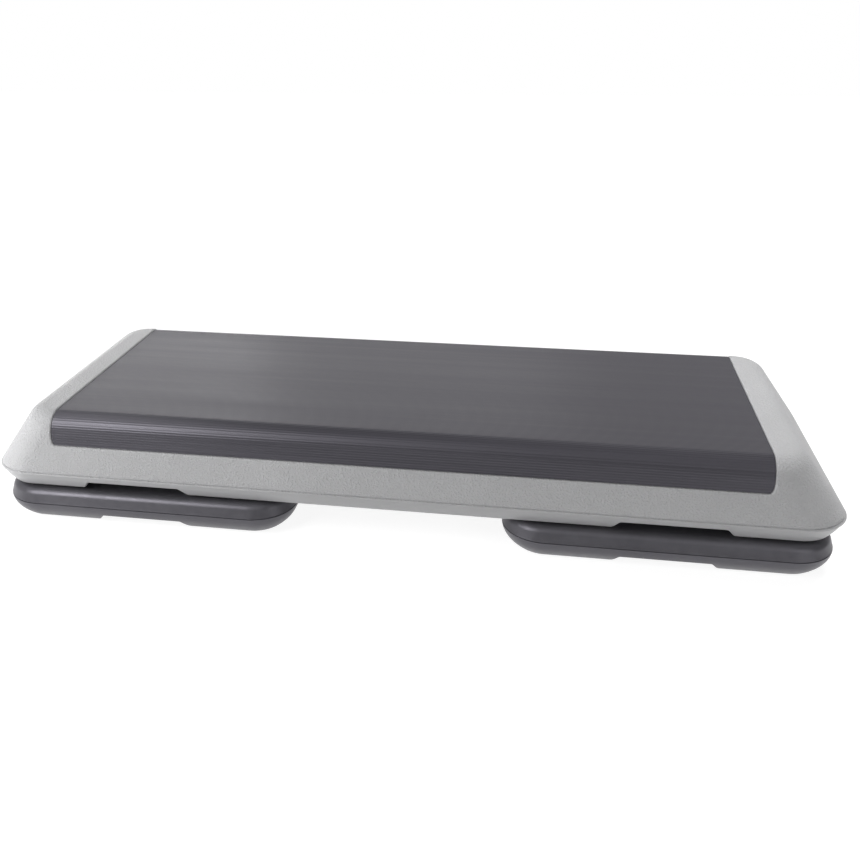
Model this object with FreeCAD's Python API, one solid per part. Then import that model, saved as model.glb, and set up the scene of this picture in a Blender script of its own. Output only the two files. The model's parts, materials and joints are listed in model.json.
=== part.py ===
import FreeCAD, Part
import math
import os

from FreeCAD import Vector

# Aerobic step platform: a hollow blow-moulded deck with a ribbed tread mat set into its top,
# standing on two square hollow risers that nest into the deck's underside. Rubber feet push
# into seats under the deck and under both risers.
# Millimetres, +Z up. The origin is on the floor, under the middle of the deck. X runs along
# the deck, and its front long side faces -Y.

# Overall sizes
DECK_LENGTH = 1092.2
DECK_WIDTH = 406.4
DECK_HEIGHT = 101.6
RISER_STEP = 50.8
RISER_SIDE_INSET = 3.2
RISER_END_INSET = 10.6

# A riser is square, and stands a little inside the deck's long sides and its end
RISER_SIDE = DECK_WIDTH - 2 * RISER_SIDE_INSET
RISER_SPACING = DECK_LENGTH - RISER_SIDE - 2 * RISER_END_INSET

# Deck shell
LIP_HEIGHT = 22.0
LIP_INSET = 15.0
PARTING_STEP = 0.8
DECK_CORNER_RADIUS = 59.0
TOP_CORNER_RADIUS = 42.0
TOP_EDGE_RADIUS = 26.0
LONG_SIDE_LEAN = 19.0
END_LEAN = 56.0
DECK_SKIN = 3.5

# Tread mat and the recess that it lies in
MAT_LENGTH = 903.0
MAT_DROP = 40.0
MAT_CORNER_WIDTH = 6.0
MAT_CORNER_HEIGHT = 16.0
MAT_RECESS = 3.0
MAT_SINK = 0.3
MAT_BOND = 0.2
MAT_GAP = 0.6
RIB_PITCH = 3.2
RIB_DEPTH = 0.6
RIB_CREST_SHARE = 0.55
RIB_VALLEY_SHARE = 0.5 * (1 + RIB_CREST_SHARE)

# Riser blocks
RISER_CORNER_RADIUS = 55.0
RISER_PARTING_HEIGHT = 28.0
RISER_SHOULDER_HEIGHT = 46.5
RISER_BASE_INSET = 18.8
RISER_BASE_BULGE = 4.4
RISER_SHOULDER_INSET = 5.0
RISER_SHOULDER_RADIUS = 10.0
RISER_SKIN = 2.5

# The raised plateau of a riser, and the socket that it nests in
PLATEAU_MARGIN = 60.0
PLATEAU_SIDE = RISER_SIDE - 2 * PLATEAU_MARGIN
PLATEAU_RISE = 16.0
PLATEAU_CORNER_RADIUS = 40.0
PLATEAU_DRAFT = 2.0
PLATEAU_CHAMFER = 3.0
NEST_CLEARANCE = 2.0

# Finger notches under the deck's lip and in the risers' base
DECK_NOTCH_WIDTH = 122.0
DECK_NOTCH_HEIGHT = 8.0
DECK_NOTCH_SHIFT = 6.0
RISER_NOTCH_WIDTH = 106.0
RISER_NOTCH_HEIGHT = 6.0
NOTCH_FLARE = 12.0

# Kiss-offs: tapered hollows that tie the lower wall of a moulding to its upper wall
KISS_END_SIDE = 18.0
KISS_DRAFT_ANGLE = math.radians(7.0)
KISS_COUNT = 3
RISER_KISS_SHARE = 0.314
RISER_KISS_PITCH = RISER_KISS_SHARE * PLATEAU_SIDE
CENTRE_KISS_SHARES = (0.28, 0.266)
CENTRE_KISS_PITCHES = (
    CENTRE_KISS_SHARES[0] * (RISER_SPACING - PLATEAU_SIDE),
    CENTRE_KISS_SHARES[1] * DECK_WIDTH,
)

# Push-in rubber feet
FOOT_SIDE = 24.0
FOOT_CORNER = 5.0
FOOT_PROUD = 1.5
FOOT_SEAT_DEPTH = 2.5
FOOT_CHAMFER = 0.8
FOOT_STEM_SIDE = 8.0
FOOT_STEM_CORNER = 1.5
FOOT_BARB_SIDE = 11.0
FOOT_BARB_TIP_SIDE = 6.0
FOOT_BARB_LENGTH = 5.0
FOOT_WALL = 3.0
FOOT_INSET = 28.0
FOOT_CLEARANCE = 0.15

# Construction values
OVERRUN = 5.0
COINCIDENCE = 1e-3
ARC_SHARES = (0, 0.5, 1)
SHOULDER_FLATS = 3
LOWER_FLATS = 3
NEST_CHORDS = 3
CAVITY_CHORDS = 3
CAVITY_CHAMFER = 6.0

# Heights above the floor
LIP_Z = RISER_STEP
DECK_PARTING_Z = LIP_Z + LIP_HEIGHT
DECK_TOP_Z = LIP_Z + DECK_HEIGHT
RISER_BASE_Z = FOOT_PROUD
PLATEAU_Z = RISER_SHOULDER_HEIGHT + PLATEAU_RISE
RISER_SOCKET_Z = PLATEAU_Z - RISER_STEP

# The deck's long sides lean inwards by this angle from the vertical
LEAN_ANGLE = math.atan2(LONG_SIDE_LEAN, DECK_TOP_Z - DECK_PARTING_Z)

TURNS = ((1, -1), (1, 1), (-1, 1), (-1, -1))
SIDES = {"left": -1, "right": 1}
CORNERS = {
    "front_left": (-1, -1),
    "front_right": (1, -1),
    "back_left": (-1, 1),
    "back_right": (1, 1),
}


def level_outline(length, width, radius, z, chords=0):
    """A level rectangle centred on the Z axis, with corners of arcs or chords, as a wire."""
    shares = [step / chords for step in range(chords + 1)] if chords else ARC_SHARES
    corners = []
    for turn, (side_x, side_y) in enumerate(TURNS):
        centre = Vector(side_x * (length / 2 - radius), side_y * (width / 2 - radius), z)
        points = []
        for share in shares:
            angle = (turn - 1 + share) * math.pi / 2
            points.append(centre + Vector(math.cos(angle), math.sin(angle), 0) * radius)
        corners.append(points)
    edges = []
    for points, following in zip(corners, corners[1:] + corners[:1]):
        if chords:
            edges += [Part.makeLine(near, far) for near, far in zip(points, points[1:])]
        else:
            edges.append(Part.Arc(*points).toShape())
        edges.append(Part.makeLine(points[-1], following[0]))
    return Part.Wire(edges)


def tapered_block(*outlines):
    """A solid through level outlines with matching edges, from the lowest to the highest."""
    faces = [Part.Face(outlines[0]).reversed(), Part.Face(outlines[-1])]
    for lower, upper in zip(outlines, outlines[1:]):
        for low, high in zip(lower.Edges, upper.Edges):
            if isinstance(low.Curve, Part.Line):
                low_ends = [low.valueAt(low.FirstParameter), low.valueAt(low.LastParameter)]
                high_ends = [high.valueAt(high.LastParameter), high.valueAt(high.FirstParameter)]
                faces.append(Part.Face(Part.makePolygon(low_ends + high_ends + low_ends[:1])))
            else:
                faces.append(Part.makeRuledSurface(low, high))
    shell = Part.Shell(faces)
    shell.sewShape()
    return Part.Solid(shell)


def level_edges(shape, z):
    """The edges of a shape that lie at one height."""
    found = []
    for edge in shape.Edges:
        box = edge.BoundBox
        if abs(box.ZMin - z) < COINCIDENCE and abs(box.ZMax - z) < COINCIDENCE:
            found.append(edge)
    return found


def rounded_at(shape, z, radius):
    """The shape with its edges at one height rounded."""
    return shape.makeFillet(radius, level_edges(shape, z))


def grid(count, pitch_x, pitch_y):
    """The places of a grid of points round the origin, as many along as across."""
    steps = [index - (count - 1) / 2 for index in range(count)]
    return [(along * pitch_x, across * pitch_y) for along in steps for across in steps]


def riser_kiss_places():
    """Where the kiss-offs stand over a plateau, round its middle."""
    return grid(KISS_COUNT, RISER_KISS_PITCH, RISER_KISS_PITCH)


# Kiss-offs, sockets, notches and foot seats are shared by the deck and the risers. Each is made
# as the tool that cuts it, and grown by a wall to leave that wall round it inside the cavity.


def kiss_off(x, y, mouth_z, end_z, wall=0):
    """A tapered hollow from the lower wall up to its closed end at the upper wall."""
    spread = math.tan(KISS_DRAFT_ANGLE)
    side_wall = wall / math.cos(KISS_DRAFT_ANGLE)
    low_z, high_z = mouth_z - OVERRUN, end_z + wall
    levels = []
    for z in (low_z, high_z):
        half = KISS_END_SIDE / 2 + (end_z - z) * spread + side_wall
        corners = [Vector(half * turn_x, half * turn_y, z) for turn_x, turn_y in TURNS]
        levels.append(Part.makePolygon(corners + corners[:1]))
    return tapered_block(*levels).translated(Vector(x, y, 0))


def nest_outline(growth, z):
    """The plateau's outline at its top edge, grown by a distance all round."""
    side = PLATEAU_SIDE + 2 * growth
    return level_outline(side, side, PLATEAU_CORNER_RADIUS + growth, z, NEST_CHORDS)


def socket(mouth_z, roof_z, wall=0):
    """The socket that a plateau nests in, open downwards."""
    low_z, high_z = mouth_z - OVERRUN, roof_z + wall
    roof_growth = NEST_CLEARANCE + wall
    mouth_growth = roof_growth + PLATEAU_DRAFT * (high_z - low_z) / PLATEAU_RISE
    return tapered_block(nest_outline(mouth_growth, low_z), nest_outline(roof_growth, high_z))


def notch(width, height, mouth_z, reach, wall=0):
    """A finger notch with flared sides, open downwards, that runs from the middle out to -Y."""
    top_half = width / 2 + wall
    slope = NOTCH_FLARE / height
    foot_half = top_half + slope * (height + wall + OVERRUN)
    low, high = mouth_z - OVERRUN, mouth_z + height + wall
    corners = [(-foot_half, low), (foot_half, low), (top_half, high), (-top_half, high)]
    points = [Vector(x, 0, z) for x, z in corners + corners[:1]]
    return Part.Face(Part.makePolygon(points)).extrude(Vector(0, -reach, 0))


def foot_outline(side, corner, z):
    """A level square with cut corners, as the pad, stem and barb of a foot have."""
    return level_outline(side, side, corner, z, 1)


def foot_seat(x, y, base_z, wall=0):
    """The seat of a foot's pad."""
    side = FOOT_SIDE + 2 * (FOOT_CLEARANCE + wall)
    low_z, high_z = base_z - OVERRUN, base_z + FOOT_SEAT_DEPTH + wall
    corner = FOOT_CORNER + wall
    block = tapered_block(foot_outline(side, corner, low_z), foot_outline(side, corner, high_z))
    return block.translated(Vector(x, y, 0))


def foot_hole(x, y, base_z):
    """The hole that a foot's stem passes through, from the seat into the cavity."""
    side = FOOT_STEM_SIDE + 2 * FOOT_CLEARANCE
    low_z, high_z = base_z, base_z + FOOT_SEAT_DEPTH + FOOT_WALL + OVERRUN
    low = foot_outline(side, FOOT_STEM_CORNER, low_z)
    return tapered_block(low, foot_outline(side, FOOT_STEM_CORNER, high_z)).translated(Vector(x, y, 0))


def foot(x, y, base_z):
    """A push-in rubber foot: a pad, a stem through the wall and a barb behind it."""
    bottom_z = base_z - FOOT_PROUD
    pad_z = base_z + FOOT_SEAT_DEPTH
    barb_z = pad_z + FOOT_WALL
    worn_side = FOOT_SIDE - 2 * FOOT_CHAMFER
    pad = tapered_block(
        foot_outline(worn_side, FOOT_CORNER, bottom_z),
        foot_outline(FOOT_SIDE, FOOT_CORNER, bottom_z + FOOT_CHAMFER),
        foot_outline(FOOT_SIDE, FOOT_CORNER, pad_z),
    )
    stem = tapered_block(
        foot_outline(FOOT_STEM_SIDE, FOOT_STEM_CORNER, pad_z),
        foot_outline(FOOT_STEM_SIDE, FOOT_STEM_CORNER, barb_z),
    )
    barb = tapered_block(
        foot_outline(FOOT_BARB_SIDE, FOOT_STEM_CORNER, barb_z),
        foot_outline(FOOT_BARB_TIP_SIDE, FOOT_STEM_CORNER, barb_z + FOOT_BARB_LENGTH),
    )
    return pad.fuse([stem, barb]).removeSplitter().translated(Vector(x, y, 0))


def corner_places(half_x, half_y):
    """The places of four feet, by the name of their corner."""
    return {name: (x * half_x, y * half_y) for name, (x, y) in CORNERS.items()}


# Deck shell


def deck_outline(z, inset=0, chords=0):
    """The deck's outline at a height above its parting line."""
    share = (z - DECK_PARTING_Z) / (DECK_TOP_Z - DECK_PARTING_Z)
    length = DECK_LENGTH - 2 * (END_LEAN * share + inset)
    width = DECK_WIDTH - 2 * (LONG_SIDE_LEAN * share + inset)
    radius = DECK_CORNER_RADIUS + (TOP_CORNER_RADIUS - DECK_CORNER_RADIUS) * share - inset
    return level_outline(length, width, radius, z, chords)


def lip_outline(z, inset=0, chords=0):
    """The deck's outline at a height below its parting line."""
    share = (DECK_PARTING_Z - z) / LIP_HEIGHT
    total = PARTING_STEP + (LIP_INSET - PARTING_STEP) * share + inset
    length, width = DECK_LENGTH - 2 * total, DECK_WIDTH - 2 * total
    return level_outline(length, width, DECK_CORNER_RADIUS - total, z, chords)


def deck_form():
    """The deck's outside: a block with a rounded top edge above a smooth drawn-in lip."""
    upper = tapered_block(deck_outline(DECK_PARTING_Z), deck_outline(DECK_TOP_Z))
    lip = tapered_block(lip_outline(LIP_Z), lip_outline(DECK_PARTING_Z))
    return rounded_at(upper, DECK_TOP_Z, TOP_EDGE_RADIUS).fuse(lip)


def deck_cavity():
    """The hollow inside the deck, with a chamfer under its rounded top edge."""
    inset = MAT_RECESS + DECK_SKIN
    top_z = DECK_TOP_Z - inset
    upper = tapered_block(
        deck_outline(DECK_PARTING_Z, inset, CAVITY_CHORDS),
        deck_outline(top_z - CAVITY_CHAMFER, inset, CAVITY_CHORDS),
        deck_outline(top_z, inset + CAVITY_CHAMFER, CAVITY_CHORDS),
    )
    lip = tapered_block(
        lip_outline(LIP_Z + DECK_SKIN, DECK_SKIN, CAVITY_CHORDS),
        lip_outline(DECK_PARTING_Z, DECK_SKIN, CAVITY_CHORDS),
    )
    return upper.fuse(lip)


def long_side_y(z):
    """Half the deck's width at a height."""
    return DECK_WIDTH / 2 - (z - DECK_PARTING_Z) * math.tan(LEAN_ANGLE)


def top_edge_centre():
    """The centre of the rounding between the deck's top and its back long side, as (y, z)."""
    z = DECK_TOP_Z - TOP_EDGE_RADIUS
    return long_side_y(z) - TOP_EDGE_RADIUS / math.cos(LEAN_ANGLE), z


def tread_path(inset):
    """The line that the tread follows from the middle of the top down to its lower edge.

    It gives the line's length, and a function from the distance gone along it, and a depth
    below it, to the place (y, z). The line runs straight on top, round the top edge and
    straight down the long side.
    """
    centre_y, centre_z = top_edge_centre()
    radius = TOP_EDGE_RADIUS - inset
    turn = math.pi / 2 - LEAN_ANGLE
    side_top_z = centre_z + radius * math.sin(LEAN_ANGLE)
    side_length = (side_top_z - (DECK_TOP_Z - MAT_DROP)) / math.cos(LEAN_ANGLE)
    length = centre_y + radius * turn + side_length

    def point(distance, depth):
        if distance <= centre_y:
            return distance, centre_z + radius - depth
        angle = min((distance - centre_y) / radius, turn)
        down = max(distance - centre_y - radius * turn, 0)
        y = centre_y + (radius - depth) * math.sin(angle) + down * math.sin(LEAN_ANGLE)
        z = centre_z + (radius - depth) * math.cos(angle) - down * math.cos(LEAN_ANGLE)
        return y, z

    return length, point


def deck_section(inset, low_z):
    """The deck's cross-section over the middle, as a face across X, cut off at a height."""
    centre_y, centre_z = top_edge_centre()
    radius = TOP_EDGE_RADIUS - inset
    low_y = long_side_y(low_z) - inset / math.cos(LEAN_ANGLE)
    half_turn = (math.pi / 2 + LEAN_ANGLE) / 2
    edges = []
    ends = []
    for side in (1, -1):
        arc_points = []
        for angle in (LEAN_ANGLE, half_turn, math.pi / 2):
            y = centre_y + radius * math.cos(angle)
            arc_points.append(Vector(0, side * y, centre_z + radius * math.sin(angle)))
        low = Vector(0, side * low_y, low_z)
        edges.append(Part.makeLine(low, arc_points[0]))
        edges.append(Part.Arc(*arc_points).toShape())
        ends.append((low, arc_points[-1]))
    for near, far in zip(*ends):
        edges.append(Part.makeLine(near, far))
    return Part.Face(Part.Wire(Part.__sortEdges__(edges)))


def along_deck(face, length):
    """A face across X, extended along the deck to both sides of its middle."""
    bar = face.extrude(Vector(length, 0, 0))
    bar.translate(Vector(-length / 2, 0, 0))
    return bar


def mat_window(gap):
    """The mat's outline seen from the front, grown by a gap and cut through the deck along Y.

    Its sides run into its lower edge on quarter ellipses, which are taller than they are wide.
    """
    half, low = MAT_LENGTH / 2 + gap, DECK_TOP_Z - MAT_DROP - gap
    level_half, side_low = half - MAT_CORNER_WIDTH - gap, low + MAT_CORNER_HEIGHT + gap
    high = DECK_TOP_Z + OVERRUN
    depth = DECK_WIDTH
    edges = []
    for side in (-1, 1):
        top, upper_end = Vector(side * half, 0, high), Vector(side * half, 0, side_low)
        lower_end = Vector(side * level_half, 0, low)
        ellipse = Part.Ellipse(lower_end, upper_end, Vector(side * level_half, 0, side_low))
        edges.append(Part.makeLine(top, upper_end))
        edges.append(Part.ArcOfEllipse(ellipse, 0, math.pi / 2).toShape())
    edges.append(Part.makeLine(Vector(-half, 0, high), Vector(half, 0, high)))
    edges.append(Part.makeLine(Vector(-level_half, 0, low), Vector(level_half, 0, low)))
    face = Part.Face(Part.Wire(Part.__sortEdges__(edges)))
    face.translate(Vector(0, -depth / 2, 0))
    return face.extrude(Vector(0, depth, 0))


def mat_recess():
    """What is cut from the deck for the mat: a band over its top and down both long sides."""
    low_z = DECK_TOP_Z - MAT_DROP - OVERRUN
    length = MAT_LENGTH + 2 * OVERRUN
    outside = along_deck(deck_section(-OVERRUN, low_z), length)
    inside = along_deck(deck_section(MAT_RECESS, low_z), length)
    return outside.cut(inside).common(mat_window(MAT_GAP))


def deck_kiss_places():
    """Where the deck's kiss-offs stand, with the height of their mouths."""
    places = [(x, y, LIP_Z) for x, y in grid(KISS_COUNT, *CENTRE_KISS_PITCHES)]
    for side in SIDES.values():
        shift = side * RISER_SPACING / 2
        places += [(x + shift, y, PLATEAU_Z) for x, y in riser_kiss_places()]
    return places


def deck_openings(wall=0):
    """All that is cut from the deck's underside, grown by a wall."""
    end_z = DECK_TOP_Z - MAT_RECESS - DECK_SKIN
    tools = [kiss_off(x, y, mouth_z, end_z, wall) for x, y, mouth_z in deck_kiss_places()]
    for side in SIDES.values():
        middle = RISER_SPACING / 2
        tools.append(socket(LIP_Z, PLATEAU_Z, wall).translated(Vector(side * middle, 0, 0)))
        finger = notch(DECK_NOTCH_WIDTH, DECK_NOTCH_HEIGHT, LIP_Z, DECK_WIDTH / 2, wall)
        back_finger = finger.mirror(Vector(0, 0, 0), Vector(0, 1, 0))
        for tool in (finger, back_finger):
            tools.append(tool.translated(Vector(side * (middle + DECK_NOTCH_SHIFT), 0, 0)))
    return tools


def deck_feet():
    """The places of the deck's feet, by the name of their corner."""
    inset = LIP_INSET + FOOT_INSET
    return corner_places(DECK_LENGTH / 2 - inset, DECK_WIDTH / 2 - inset)


def deck_shell():
    """The hollow deck, with the mat's recess, sockets, notches, kiss-offs and foot seats."""
    feet = deck_feet().values()
    cavity = deck_cavity().cut(deck_openings(DECK_SKIN))
    cavity = cavity.cut([foot_seat(x, y, LIP_Z, FOOT_WALL) for x, y in feet])
    shell = deck_form().cut(mat_recess())
    shell = shell.cut(deck_openings())
    shell = shell.cut([foot_seat(x, y, LIP_Z) for x, y in feet])
    shell = shell.cut(cavity)
    return shell.cut([foot_hole(x, y, LIP_Z) for x, y in feet])


def tread_mat():
    """The rubber mat in its recess, with fine ribs along the deck, one of them along its middle."""
    back = MAT_RECESS - MAT_BOND
    length, point = tread_path(MAT_SINK)
    count = 2 * math.ceil(length / RIB_PITCH) + 1
    start = -(count - 1 + RIB_CREST_SHARE) * RIB_PITCH / 2
    stops = []
    for rib in range(count):
        here = start + rib * RIB_PITCH
        stops.append((here, 0))
        stops.append((here + RIB_CREST_SHARE * RIB_PITCH, 0))
        stops.append((here + RIB_VALLEY_SHARE * RIB_PITCH, RIB_DEPTH))
    outer = []
    for distance, depth in stops:
        y, z = point(abs(distance), depth)
        outer.append(Vector(0, math.copysign(y, distance), z))
    low_z = min(corner.z for corner in outer) - OVERRUN
    ribbed = deck_section(back, low_z)
    corners = [Vector(0, outer[0].y, low_z)] + outer + [Vector(0, outer[-1].y, low_z)]
    ribs = Part.Face(Part.makePolygon(corners + corners[:1]))
    strip = along_deck(ribs.cut(ribbed), MAT_LENGTH + 2 * OVERRUN)
    return strip.common(mat_window(0))


# Risers


def riser_inset(z):
    """How far a riser's wall lies inside its parting line at a height."""
    below = max(RISER_PARTING_HEIGHT - z, 0) / (RISER_PARTING_HEIGHT - RISER_BASE_Z)
    above = max(z - RISER_PARTING_HEIGHT, 0) / (RISER_SHOULDER_HEIGHT - RISER_PARTING_HEIGHT)
    bulge = 4 * RISER_BASE_BULGE * below * (1 - below)
    return below * RISER_BASE_INSET - bulge + above * RISER_SHOULDER_INSET


def riser_outline(z, inset=0, chords=0):
    """A riser's outline at a height: widest at the parting line, drawn in above and below it."""
    total = riser_inset(z) + inset
    side = RISER_SIDE - 2 * total
    return level_outline(side, side, RISER_CORNER_RADIUS - total, z, chords)


def lower_levels(low_z):
    """Heights from a riser's base up to its parting line, at the flats of its bulged lower half."""
    rise = RISER_PARTING_HEIGHT - low_z
    return [low_z + rise * step / LOWER_FLATS for step in range(LOWER_FLATS + 1)]


def shoulder_outlines():
    """The outlines of a riser's shoulder, which is eased in short flats on a quarter round."""
    outlines = []
    for step in range(SHOULDER_FLATS + 1):
        angle = step / SHOULDER_FLATS * math.pi / 2
        drop = RISER_SHOULDER_RADIUS * (1 - math.sin(angle))
        inset = RISER_SHOULDER_RADIUS * (1 - math.cos(angle))
        outlines.append(riser_outline(RISER_SHOULDER_HEIGHT - drop, inset))
    return outlines


def plateau(inset=0):
    """The raised plateau on a riser, with its sides drawn in and a chamfer round its top."""
    low_z, high_z = RISER_SHOULDER_HEIGHT - inset, PLATEAU_Z - inset
    return tapered_block(
        nest_outline(PLATEAU_DRAFT - inset, low_z),
        nest_outline(-inset, high_z - PLATEAU_CHAMFER),
        nest_outline(-PLATEAU_CHAMFER - inset, high_z),
    )


def riser_form():
    """A riser's outside: a bulged lower half and a drawn-in upper one, and the plateau."""
    lower_outlines = [riser_outline(z) for z in lower_levels(RISER_BASE_Z)]
    lower = Part.makeLoft(lower_outlines, True, True)
    upper = Part.makeLoft(lower_outlines[-1:] + shoulder_outlines(), True, True)
    return lower.fuse([upper, plateau()])


def riser_cavity():
    """The hollow inside a riser."""
    roof_z = RISER_SHOULDER_HEIGHT - RISER_SKIN
    levels = [(z, RISER_SKIN) for z in lower_levels(RISER_BASE_Z + RISER_SKIN)]
    levels.append((roof_z - CAVITY_CHAMFER, RISER_SKIN))
    levels.append((roof_z, RISER_SKIN + CAVITY_CHAMFER))
    block = tapered_block(*[riser_outline(z, inset, CAVITY_CHORDS) for z, inset in levels])
    return block.fuse(plateau(RISER_SKIN))


def riser_openings(wall=0):
    """All that is cut from a riser's underside, grown by a wall."""
    end_z = PLATEAU_Z - RISER_SKIN
    tools = [kiss_off(x, y, RISER_SOCKET_Z, end_z, wall) for x, y in riser_kiss_places()]
    tools.append(socket(RISER_BASE_Z, RISER_SOCKET_Z, wall))
    for turn in range(4):
        finger = notch(RISER_NOTCH_WIDTH, RISER_NOTCH_HEIGHT, RISER_BASE_Z, RISER_SIDE / 2, wall)
        finger.rotate(Vector(0, 0, 0), Vector(0, 0, 1), turn * 90)
        tools.append(finger)
    return tools


def riser_feet():
    """The places of a riser's feet, by the name of their corner."""
    half = RISER_SIDE / 2 - RISER_BASE_INSET - FOOT_INSET
    return corner_places(half, half)


def riser():
    """A hollow riser centred on the Z axis."""
    feet = riser_feet().values()
    cavity = riser_cavity().cut(riser_openings(RISER_SKIN))
    cavity = cavity.cut([foot_seat(x, y, RISER_BASE_Z, FOOT_WALL) for x, y in feet])
    block = riser_form().cut(riser_openings())
    block = block.cut([foot_seat(x, y, RISER_BASE_Z) for x, y in feet])
    block = block.cut(cavity)
    return block.cut([foot_hole(x, y, RISER_BASE_Z) for x, y in feet])


def build():
    """All the pieces, by the name of their node."""
    pieces = {"deck_shell": deck_shell(), "tread_mat": tread_mat()}
    for corner, (x, y) in deck_feet().items():
        pieces[f"deck_foot_{corner}"] = foot(x, y, LIP_Z)
    block = riser()
    for name, side in SIDES.items():
        middle = Vector(side * RISER_SPACING / 2, 0, 0)
        pieces[f"{name}_riser"] = block.translated(middle)
        for corner, (x, y) in riser_feet().items():
            pieces[f"{name}_riser_foot_{corner}"] = foot(x + middle.x, y, RISER_BASE_Z)
    return pieces


def main():
    os.makedirs("parts", exist_ok=True)
    for name, shape in build().items():
        solid, = shape.Solids
        solid.exportStep(f"parts/{name}.step")
        print(name, "valid" if solid.isValid() else "not valid", round(solid.Volume), "mm3")


main()
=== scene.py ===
import json
import math

import bmesh
import bpy
from mathutils import Matrix, Vector


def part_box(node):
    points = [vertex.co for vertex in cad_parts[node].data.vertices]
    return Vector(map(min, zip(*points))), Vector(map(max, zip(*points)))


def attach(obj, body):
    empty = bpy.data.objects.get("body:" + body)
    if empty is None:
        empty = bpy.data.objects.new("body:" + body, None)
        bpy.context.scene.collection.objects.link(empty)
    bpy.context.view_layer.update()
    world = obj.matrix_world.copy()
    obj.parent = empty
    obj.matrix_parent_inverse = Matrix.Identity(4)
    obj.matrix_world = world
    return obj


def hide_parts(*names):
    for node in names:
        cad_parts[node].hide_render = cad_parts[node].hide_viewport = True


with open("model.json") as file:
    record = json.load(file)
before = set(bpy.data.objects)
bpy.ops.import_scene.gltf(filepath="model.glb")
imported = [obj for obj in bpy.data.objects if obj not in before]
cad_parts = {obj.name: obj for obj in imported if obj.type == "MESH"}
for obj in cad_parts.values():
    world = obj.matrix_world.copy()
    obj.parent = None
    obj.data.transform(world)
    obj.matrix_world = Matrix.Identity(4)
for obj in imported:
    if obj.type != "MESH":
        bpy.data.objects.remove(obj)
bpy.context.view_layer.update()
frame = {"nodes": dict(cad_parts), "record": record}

# Aerobic step platform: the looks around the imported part. The deck, the mat and the risers are
# remade as smooth mouldings with rounded edges, parting lines and ribs. The rubber feet stay as
# they are packed and get their material.
# The object's sizes are in millimetres, and each mesh is brought to metres as it is made. The
# studio's sizes are in metres.
MM = 0.001


def node_box(node):
    """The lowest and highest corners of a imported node."""
    low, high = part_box(node)
    return low / MM, high / MM


# Deck
DECK_LOW, DECK_HIGH = node_box("deck_shell")
DECK_HALF_X, DECK_HALF_Y = DECK_HIGH.x, DECK_HIGH.y
LIP_Z, DECK_TOP_Z = DECK_LOW.z, DECK_HIGH.z
LIP_HEIGHT = 22.0
LIP_INSET = 15.0
LIP_BULGE = 1.2
LIP_EDGE_RADIUS = 3.0
PARTING_STEP = 0.8
DECK_PARTING_Z = LIP_Z + LIP_HEIGHT
LONG_SIDE_LEAN = 19.0
END_LEAN = 56.0
DECK_CORNER_RADIUS = 59.0
TOP_CORNER_RADIUS = 42.0
TOP_EDGE_RADIUS = 26.0
SIDE_HEIGHT = DECK_TOP_Z - DECK_PARTING_Z
EDGE_CENTRE_Z = DECK_TOP_Z - TOP_EDGE_RADIUS

# Along the parting line the deck's wall rounds under into a groove, and a half-round bead stands
# below it. From above: pairs of how far a point lies inside the wall, and its height over the
# line. The bead's foot lies below the line, and its pairs start from the rim.
GROOVE = (
    (0.0, 3.9), (0.2, 2.84), (0.65, 2.13), (1.2, 1.69), (1.6, 1.45),
    (1.59, 1.32), (0.95, 1.07), (0.45, 0.6), (0.1, 0.0),
)
BEAD_FOOT = ((0.0, -0.75), (0.25, -1.35), (0.8, -1.75), (1.67, -2.1))

# Mat, and the recess that it lies in, whose window on a long side has rounded lower corners
MAT_LOW, MAT_HIGH = node_box("tread_mat")
MAT_GAP = 0.6
MAT_SINK = DECK_TOP_Z - MAT_HIGH.z
MAT_SETTLE = 1.0
MAT_THICKNESS = 1.6
MAT_CORNER_WIDTH = 6.0
MAT_CORNER_HEIGHT = 16.0
RECESS_DEPTH = 3.0
LEDGE_RADIUS = 2.4
WINDOW_WIDTH = MAT_CORNER_WIDTH + MAT_GAP
WINDOW_HEIGHT = MAT_CORNER_HEIGHT + MAT_GAP
WINDOW_CENTRE_X = MAT_HIGH.x - MAT_CORNER_WIDTH
WINDOW_CENTRE_Z = MAT_LOW.z + MAT_CORNER_HEIGHT
WINDOW_REACH = 3.6
RIB_PITCH = 3.2
RIB_DEPTH = 0.2

# Risers. A riser's node and the body that it rides on have the same name.
RISERS = ("left_riser", "right_riser")
RISER_LOW, RISER_HIGH = node_box("right_riser")
RISER_HALF = (RISER_HIGH.x - RISER_LOW.x) / 2
RISER_X = (RISER_HIGH.x + RISER_LOW.x) / 2
RISER_BASE_Z, PLATEAU_Z = RISER_LOW.z, RISER_HIGH.z
RISER_CORNER_RADIUS = 55.0
RISER_PARTING_Z = 28.0
SHOULDER_Z = 46.5
SHOULDER_INSET = 5.0
SHOULDER_RADIUS = 8.0
BASE_INSET = 18.8
BASE_BULGE = 4.4
BASE_EDGE_RADIUS = 3.0
PLATEAU_MARGIN = 60.0
PLATEAU_HALF = RISER_HALF - PLATEAU_MARGIN
PLATEAU_CORNER_RADIUS = 40.0
PLATEAU_DRAFT = 2.0
PLATEAU_EDGE = 3.0

# The groove along a riser's parting line, as pairs of an inset and a height over the line
RISER_SEAM = (
    (0.35, 1.6), (0.1, 1.1), (0.2, 0.75), (1.3, 0.6),
    (1.3, -0.4), (0.1, -0.55), (0.0, -0.9), (0.1, -1.6),
)

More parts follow.
